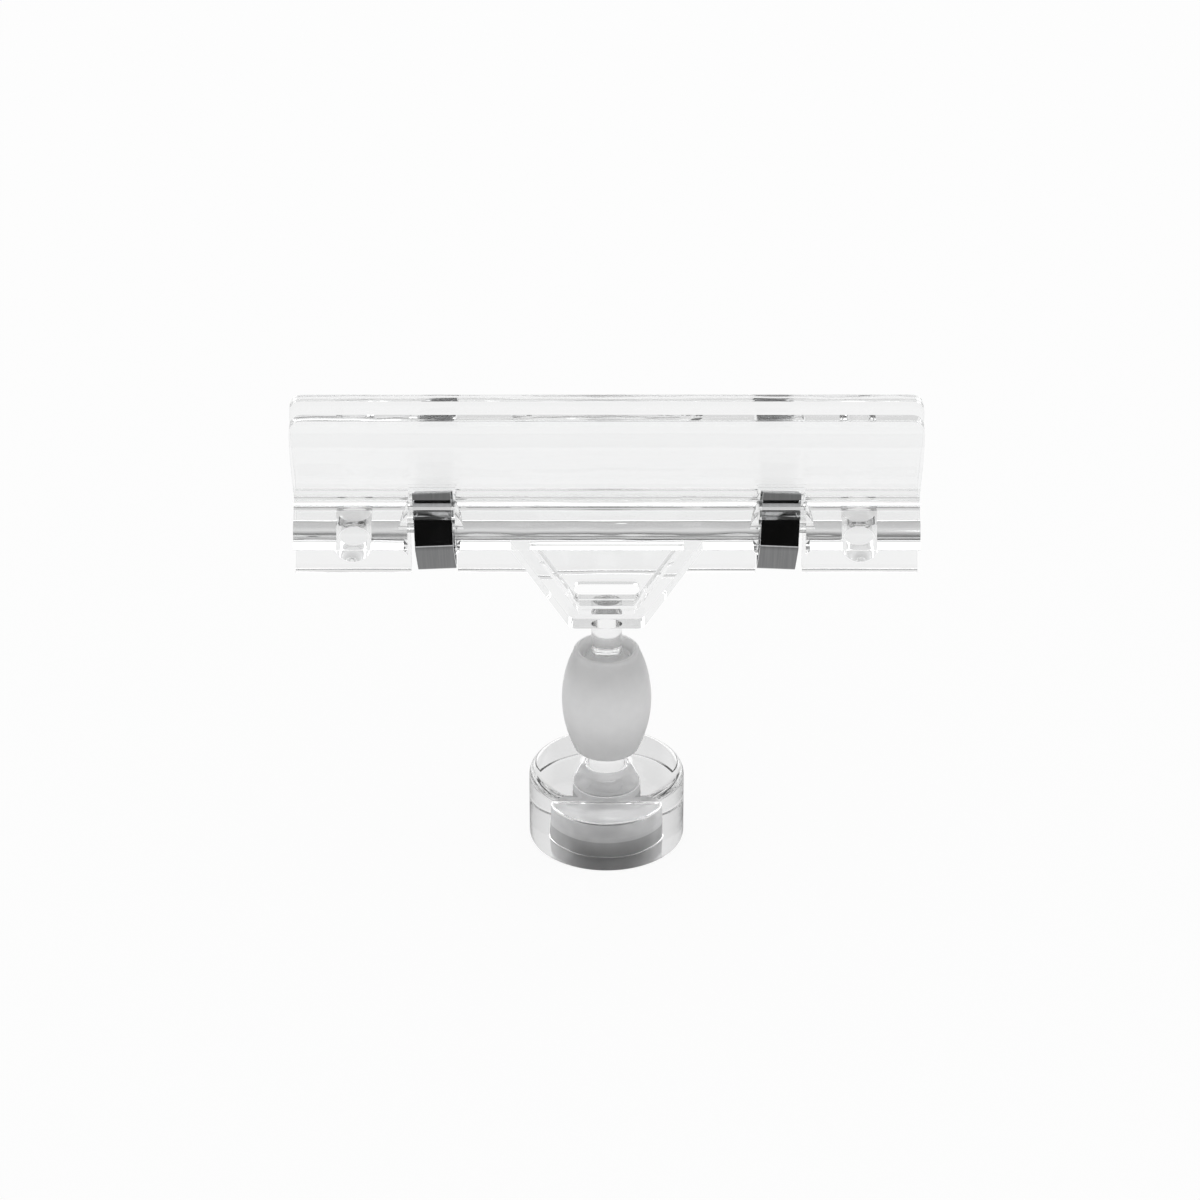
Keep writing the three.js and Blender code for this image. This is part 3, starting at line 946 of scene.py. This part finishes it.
@dataclass
class FrontJaw(Jaw):
    """Front jaw with its bead, bosses and lugs, the bracket, the neck and the upper ball."""

    ball_z: float = 24.4
    bracket_z: float = 31.6
    bead_reach: float = 7.5
    bead_nose_drop: float = 1.45
    bead_heel: float = 1.9
    foot_round: float = 0.3
    stop_radius: float = 2.3
    stop_offset: float = 32.0
    stop_lift: float = 0.6
    stop_inset: float = 0.3
    lug_radius: float = 4.2
    lug_lift: float = 2.2
    bracket_height: float = 11.6
    bracket_foot: float = 9.2
    bracket_head: float = 24.4
    bracket_depth: float = 4.0
    bracket_corner: float = 0.8
    rim_width: float = 2.1
    web_thickness: float = 1.2
    window_width: float = 8.5
    window_height: float = 2.2
    window_lift: float = 4.6
    ball_radius: float = 3.4
    neck_radius: float = 1.95

    def bracket_outline(self, inset: float, corner: float, depth: float) -> Outline:
        """Trapezoid of the bracket, drawn in from its sloping sides and its foot.

        Args:
            inset: how far it is drawn in.
            corner: rounding of its lower corners.
            depth: where it lies along Y.

        Returns:
            The outline.
        """
        lean = (self.bracket_head - self.bracket_foot) / 2 / self.bracket_height
        top = self.bracket_height + self.bead_round
        side_inset = inset * math.hypot(1, lean)
        foot = self.bracket_foot / 2 + lean * inset - side_inset
        head = self.bracket_foot / 2 + lean * top - side_inset
        low, high = self.bracket_z + inset, self.bracket_z + top
        corners = [(-foot, low, corner), (foot, low, corner), (head, high), (-head, high)]
        return [Vector((x, depth, z)) for x, z in soft_corners(corners)]

    def bracket(self) -> bpy.types.Object:
        """Bracket: a thin web with an oblong window, inside a raised rim.

        Returns:
            The bracket.
        """
        face = self.bracket_depth / 2
        web = self.web_thickness / 2
        half_w, half_h = self.window_width / 2, self.window_height / 2
        mid = self.bracket_z + self.window_lift
        outer = self.bracket_outline(0.0, self.bracket_corner, -face)
        made = prism("bracket", outer, Vector((0, 2 * face, 0)))
        deep = face - web + OVERSHOOT
        for start in (-face - OVERSHOOT, web):
            recess = prism("recess", self.bracket_outline(self.rim_width, 0.0, start), Vector((0, deep, 0)))
            combine(made, recess, Join.CUT)
        ring = soft_corners(
            [
                (-half_w, mid - half_h, half_h),
                (half_w, mid - half_h, half_h),
                (half_w, mid + half_h, half_h),
                (-half_w, mid + half_h, half_h),
            ]
        )
        window = prism("window", [Vector((x, -face, z)) for x, z in ring], Vector((0, 2 * face, 0)))
        combine(made, window, Join.CUT)
        return made

    def stud(self) -> bpy.types.Object:
        """Neck and ball that hang from the bracket.

        Returns:
            The stud.
        """
        join = math.asin(self.neck_radius / self.ball_radius)
        root = self.bracket_z + self.rim_width / 2
        ball = (0.0, self.ball_z)
        profile = arc(ball, self.ball_radius, -math.pi / 2, math.pi / 2 - join, 4 * CURVE_STEPS)
        return spun("stud", [*profile, (self.neck_radius, root), (0.0, root)])

    def moulding(self, material: bpy.types.Material) -> None:
        """Makes the front jaw.

        Args:
            material: its finish.
        """
        bead_z = self.waist_z - self.bead_height
        corners = self.inner_corners() + [
            (self.bead_reach, self.waist_z - self.bead_nose_drop, self.bead_round),
            (self.bead_reach, bead_z, self.foot_round),
            (self.bead_heel, bead_z, self.handle_round),
        ]
        piece = self.along("front_jaw_moulding", corners, -1)
        combine(piece, self.face_block(bead_z - OVERSHOOT, self.width / 2 - self.end_tuck), Join.KEEP_COMMON)
        front = self.pivot.y - self.bead_reach + self.stop_inset
        for side in Side:
            stop_x, stop_z = side.value * self.stop_offset, bead_z + self.stop_lift
            stop_back = self.pivot.y - self.stop_inset
            stop = rod("stop", self.stop_radius, (stop_x, front, stop_z), (stop_x, stop_back, stop_z))
            combine(piece, stop, Join.ADD)
            lug_x, lug_z = side.value * self.spring_offset, bead_z + self.lug_lift
            lug_back = self.pivot.y - self.slot_floor
            lug = rod("lug", self.lug_radius, (lug_x, front, lug_z), (lug_x, lug_back, lug_z))
            combine(piece, lug, Join.ADD)
            self.cut_spring_slot(piece, side, -1, self.slot_floor)
        combine(piece, self.rocking_rod(self.ridge_radius + self.seat_gap, OVERSHOOT), Join.CUT)
        combine(piece, self.bracket(), Join.ADD)
        combine(piece, self.stud(), Join.ADD)
        soften(piece, self.edge_round, EDGE_FACES)
        dress(piece, material)
        settle(piece, "front_jaw", Body.FRONT_JAW)


@dataclass
class RearJaw(Jaw):
    """Rear jaw with the ridge that it rocks on and its long flat handle."""

    handle_reach: float = 5.0
    handle_thickness: float = 2.0
    shoulder_round: float = 0.6
    waist_drop: float = 2.7
    strap_front: float = 5.5

    def moulding(self, material: bpy.types.Material) -> None:
        """Makes the rear jaw.

        Args:
            material: its finish.
        """
        inner = self.handle_reach - self.handle_thickness
        bottom = self.waist_z - self.handle_drop
        corners = self.inner_corners() + [
            (self.handle_reach, self.waist_z - self.waist_drop, self.shoulder_round),
            (self.handle_reach, bottom, self.handle_round),
            (inner, bottom, self.handle_round),
            (inner, self.waist_z - self.bead_height, self.bead_round),
        ]
        piece = self.along("rear_jaw_moulding", corners, 1)
        combine(piece, self.rocking_rod(self.ridge_radius, 0.0), Join.ADD)
        combine(piece, self.face_block(bottom - OVERSHOOT, self.width / 2), Join.KEEP_COMMON)
        for side in Side:
            self.cut_spring_slot(piece, side, 1, 0.0)
        soften(piece, self.edge_round, EDGE_FACES)
        dress(piece, material)
        settle(piece, "rear_jaw", Body.REAR_JAW)


@dataclass
class LeafSpring:
    """Bright strip, bent to a V between the handles, with an arm on each jaw."""

    pivot: Vector
    waist_z: float
    side: Side
    offset: float = 22.1
    width: float = 4.9
    thickness: float = 0.4
    skew: float = math.radians(2.5)
    arm_depth: float = 3.25
    arm_rise: float = 1.6
    arm_foot: float = -1.2
    bulge: float = 4.6
    bulge_drop: float = 5.7
    rear_arm_drop: float = 2.7
    rear_bulge_drop: float = 7.2
    bend_drop: float = 11.5
    bend_cut: float = 1.2
    edge_round: float = 0.07
    bend_start: float = 2.8

    def strip(self, material: bpy.types.Material) -> None:
        """Makes the strip, which bends between the two jaws.

        Args:
            material: its finish.
        """
        drop = self.rear_arm_drop
        corners = [
            (-self.arm_depth, self.arm_rise),
            (-self.arm_depth, self.arm_foot, self.thickness),
            (-self.bulge, -self.bulge_drop, self.thickness),
            (0.0, -self.bend_drop, self.bend_cut),
            (self.bulge, -self.rear_bulge_drop, self.thickness),
            (self.arm_depth, self.arm_foot - drop, self.thickness),
            (self.arm_depth, self.arm_rise - drop),
        ]
        turn = Matrix.Rotation(self.side.value * self.skew, 3, "Y")
        centre = Vector((self.side.value * self.offset, self.pivot.y, self.waist_z))
        path = soft_corners(corners, closed=False)
        line = [centre + turn @ Vector((-self.width / 2, depth, rise)) for depth, rise in path]
        name = f"{self.side.name.lower()}_leaf_spring"
        piece = draw_line(name, line)
        reach = turn @ Vector((self.width, 0, 0))
        bpy.ops.mesh.extrude_region_move(TRANSFORM_OT_translate={"value": reach * MM})
        close_shell(merge=False)
        wall = piece.modifiers.new("wall", "SOLIDIFY")
        wall.thickness = self.thickness * MM
        wall.offset = 0.0
        wall.use_even_offset = True
        only(piece)
        bpy.ops.object.modifier_apply(modifier=wall.name)
        soften(piece, self.edge_round, THIN_EDGE_FACES)
        dress(piece, material)
        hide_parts(f"spring_{self.side.name.lower()}")
        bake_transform(piece)
        log.info("%s: %d faces, bends between the jaws", piece.name, len(piece.data.polygons))


# Studio


def seen_rays(nodes: bpy.types.Nodes, links: bpy.types.NodeLinks) -> bpy.types.NodeSocket:
    """Mask of the rays that show the background: from the eye, mirrored, and through clear plastic.

    Args:
        nodes: nodes of the tree that the mask is for.
        links: its links.

    Returns:
        The socket of the mask.
    """
    path = nodes.new("ShaderNodeLightPath")
    first = nodes.new("ShaderNodeMath")
    first.operation = "MAXIMUM"
    second = nodes.new("ShaderNodeMath")
    second.operation = "MAXIMUM"
    links.new(path.outputs["Is Camera Ray"], first.inputs[0])
    links.new(path.outputs["Is Glossy Ray"], first.inputs[1])
    links.new(first.outputs[0], second.inputs[0])
    links.new(path.outputs["Is Transmission Ray"], second.inputs[1])
    return second.outputs[0]


@dataclass
class Studio:
    """Pale floor with painted shade on it, plain surroundings, one softbox and the camera.

    The eye sees white all round, and mirrored and bent rays see greys, with painted shade on the floor in
    front of and under the clip. The steps pair a place with its grey:
    along Y on the floor, in millimetres, and from level (0) to overhead (1) in the surroundings.
    """

    target: Corner = (-0.85, 0.0, 34.65)
    distance: float = 700.0
    elevation: float = 30.0
    lens: float = 165.0
    sensor: float = 36.0
    floor_size: float = 3000.0
    floor_colour: Corner = (0.9, 0.9, 0.9)
    floor_gap: float = 0.1
    floor_glow: float = 0.92
    # Painted shade on the floor in front of and under the clip, seen only by mirrored and bent rays.
    floor_shade_reach: Corner = (-200.0, 50.0)
    floor_shade_bent: Steps = ((-150.0, 0.93), (-130.0, 0.72), (-15.0, 0.72), (22.0, 0.94))
    floor_shade_mirrored: Steps = (
        (-150.0, 0.93),
        (-110.0, 0.23),
        (-60.0, 0.24),
        (-20.0, 0.34),
        (20.0, 0.34),
        (35.0, 0.94),
    )
    dim_side: Corner = (0.0, 1.0, -0.35)
    dim_edge: Corner = (-0.3, 0.1)
    front_steps: Steps = ((0.1, 0.007), (0.5, 0.04), (0.8, 0.08), (1.0, 0.24))
    back_steps: Steps = ((0.3, 0.8), (0.6, 0.8), (0.8, 0.68), (1.0, 0.52))
    ambient: float = 0.8
    path_length: int = 32
    softbox_place: Corner = (0.0, 1000.0, 230.0)
    softbox_size: Corner = (1200.0, 380.0)
    softbox_power: float = 2.2

    def camera(self) -> None:
        """Places the camera at the photograph's angle."""
        tilt = math.radians(self.elevation)
        back = Vector((0, -math.cos(tilt), math.sin(tilt))) * self.distance
        data = bpy.data.cameras.new("camera")
        data.lens = self.lens
        data.sensor_width = self.sensor
        holder = bpy.data.objects.new("camera", data)
        holder.location = (Vector(self.target) + back) * MM
        holder.rotation_euler = (math.pi / 2 - tilt, 0, 0)
        bpy.context.scene.collection.objects.link(holder)
        bpy.context.scene.camera = holder

    def floor(self) -> None:
        """Lays the floor, white to the eye; painted shade on it, in front of and under the clip, shows in
        metal, and paler through plastic.
        """
        bpy.ops.object.select_all(action="DESELECT")
        bpy.ops.mesh.primitive_plane_add(size=self.floor_size * MM)
        floor = bpy.context.object
        floor.name = "floor"
        floor.location.z = -self.floor_gap * MM
        material = bpy.data.materials.new("pale_floor")
        material.use_nodes = True
        nodes, links = material.node_tree.nodes, material.node_tree.links
        nodes.clear()
        matte = nodes.new("ShaderNodeBsdfDiffuse")
        matte.inputs["Color"].default_value = (*self.floor_colour, 1.0)
        place = nodes.new("ShaderNodeTexCoord")
        parts = nodes.new("ShaderNodeSeparateXYZ")
        depth = nodes.new("ShaderNodeMapRange")
        near, far = self.floor_shade_reach
        depth.inputs["From Min"].default_value = near * MM
        depth.inputs["From Max"].default_value = far * MM
        # The ramps paint shade on the floor: dark in metal, paler through plastic.
        level = nodes.new("ShaderNodeMix")
        level.data_type = "FLOAT"
        for slot, steps in ((VALUE_A, self.floor_shade_mirrored), (VALUE_B, self.floor_shade_bent)):
            ramp = grey_ramp(nodes, [((y - near) / (far - near), grey) for y, grey in steps])
            links.new(depth.outputs["Result"], ramp.inputs["Fac"])
            links.new(ramp.outputs["Color"], level.inputs[slot])
        path = nodes.new("ShaderNodeLightPath")
        seen = nodes.new("ShaderNodeMath")
        seen.operation = "MAXIMUM"
        glow = nodes.new("ShaderNodeEmission")
        blend = nodes.new("ShaderNodeMixShader")
        share = nodes.new("ShaderNodeMath")
        share.operation = "MULTIPLY"
        share.inputs[1].default_value = self.floor_glow
        put = nodes.new("ShaderNodeOutputMaterial")
        links.new(place.outputs["Object"], parts.inputs[0])
        links.new(parts.outputs["Y"], depth.inputs["Value"])
        links.new(path.outputs["Is Transmission Ray"], level.inputs[FACTOR])
        links.new(path.outputs["Is Camera Ray"], seen.inputs[0])
        links.new(level.outputs[0], seen.inputs[1])
        links.new(seen.outputs[0], glow.inputs["Strength"])
        links.new(seen_rays(nodes, links), share.inputs[0])
        links.new(share.outputs[0], blend.inputs["Fac"])
        links.new(matte.outputs[0], blend.inputs[1])
        links.new(glow.outputs[0], blend.inputs[2])
        links.new(blend.outputs[0], put.inputs["Surface"])
        dress(floor, material)

    def surroundings(self) -> None:
        """Sets the plain light all round: pale behind, dim overhead and on the camera's side."""
        world = bpy.data.worlds.new("studio")
        bpy.context.scene.world = world
        world.use_nodes = True
        nodes, links = world.node_tree.nodes, world.node_tree.links
        nodes.clear()
        place = nodes.new("ShaderNodeTexCoord")
        parts = nodes.new("ShaderNodeSeparateXYZ")
        links.new(place.outputs["Generated"], parts.inputs[0])
        turned = nodes.new("ShaderNodeVectorMath")
        turned.operation = "DOT_PRODUCT"
        turned.inputs[1].default_value = self.dim_side
        links.new(place.outputs["Generated"], turned.inputs[0])
        behind = nodes.new("ShaderNodeMapRange")
        behind.interpolation_type = "SMOOTHSTEP"
        behind.inputs["From Min"].default_value = self.dim_edge[0]
        behind.inputs["From Max"].default_value = self.dim_edge[1]
        links.new(turned.outputs["Value"], behind.inputs["Value"])
        level = nodes.new("ShaderNodeMix")
        level.data_type = "FLOAT"
        links.new(behind.outputs["Result"], level.inputs[FACTOR])
        for slot, greys in ((VALUE_A, self.front_steps), (VALUE_B, self.back_steps)):
            ramp = grey_ramp(nodes, greys)
            links.new(parts.outputs["Z"], ramp.inputs["Fac"])
            links.new(ramp.outputs["Color"], level.inputs[slot])
        plain = nodes.new("ShaderNodeMix")
        plain.data_type = "FLOAT"
        plain.inputs[VALUE_A].default_value = self.ambient
        links.new(seen_rays(nodes, links), plain.inputs[FACTOR])
        path = nodes.new("ShaderNodeLightPath")
        white = nodes.new("ShaderNodeMath")
        white.operation = "MAXIMUM"
        links.new(path.outputs["Is Camera Ray"], white.inputs[0])
        links.new(level.outputs[0], white.inputs[1])
        links.new(white.outputs[0], plain.inputs[VALUE_B])
        back = nodes.new("ShaderNodeBackground")
        back.inputs["Color"].default_value = (1.0, 1.0, 1.0, 1.0)
        links.new(plain.outputs[0], back.inputs["Strength"])
        put = nodes.new("ShaderNodeOutputWorld")
        links.new(back.outputs[0], put.inputs["Surface"])

    def softbox(self) -> None:
        """Hangs the softbox low behind the clip, and turns it to the clip."""
        data = bpy.data.lights.new("back_softbox", "AREA")
        data.shape = "RECTANGLE"
        data.size = self.softbox_size[0] * MM
        data.size_y = self.softbox_size[1] * MM
        data.energy = self.softbox_power
        lamp = bpy.data.objects.new("back_softbox", data)
        lamp.location = Vector(self.softbox_place) * MM
        facing = Vector(self.target) - Vector(self.softbox_place)
        lamp.rotation_euler = facing.to_track_quat("-Z", "Y").to_euler()
        bpy.context.scene.collection.objects.link(lamp)

    def build(self) -> None:
        """Sets up the studio, with light paths long enough to leave the clear mouldings."""
        bpy.context.scene.view_settings.view_transform = "Standard"
        paths = bpy.context.scene.cycles
        paths.max_bounces = self.path_length
        paths.diffuse_bounces = self.path_length // 4
        paths.glossy_bounces = self.path_length
        paths.transmission_bounces = self.path_length
        self.camera()
        self.floor()
        self.surroundings()
        self.softbox()


def main() -> None:
    """Builds the studio, then each sub-assembly in order from the base up."""
    logging.basicConfig(level=logging.INFO, format="%(name)s: %(message)s")
    Studio().build()
    clear, satin = ClearPlastic().material(), SatinPlastic().material()
    steel, plating = DrawnMetal().material(), PlatedMagnet().material()
    pivot = joint_place("jaw_opening")
    lower_ball_z = joint_place("lower_ball_swivel").z
    upper_ball_z = joint_place("upper_ball_tilt").z
    _, base_high = node_box("base")
    _, magnet_high = node_box("magnet")
    barrel_low, barrel_high = node_box("ball_coupling")
    front_low, front_high = node_box("front_jaw")
    _, rear_high = node_box("rear_jaw")
    foot = MagnetFoot(
        radius=base_high.x,
        ball_z=lower_ball_z,
        magnet_radius=magnet_high.x,
        magnet_height=magnet_high.z,
    )
    foot.base(clear)
    foot.magnet(plating)
    coupling = BallCoupling(
        bottom=barrel_low.z,
        top=barrel_high.z,
        lower_ball_z=lower_ball_z,
        upper_ball_z=upper_ball_z,
    )
    coupling.barrel(satin)
    width = front_high.x - front_low.x
    front = FrontJaw(pivot=pivot, width=width, lip_z=front_high.z, ball_z=upper_ball_z)
    front.moulding(clear)
    RearJaw(pivot=pivot, width=width, lip_z=rear_high.z).moulding(clear)
    for side in Side:
        LeafSpring(pivot=pivot, waist_z=front.waist_z, side=side).strip(steel)


if __name__ == "__main__":
    main()
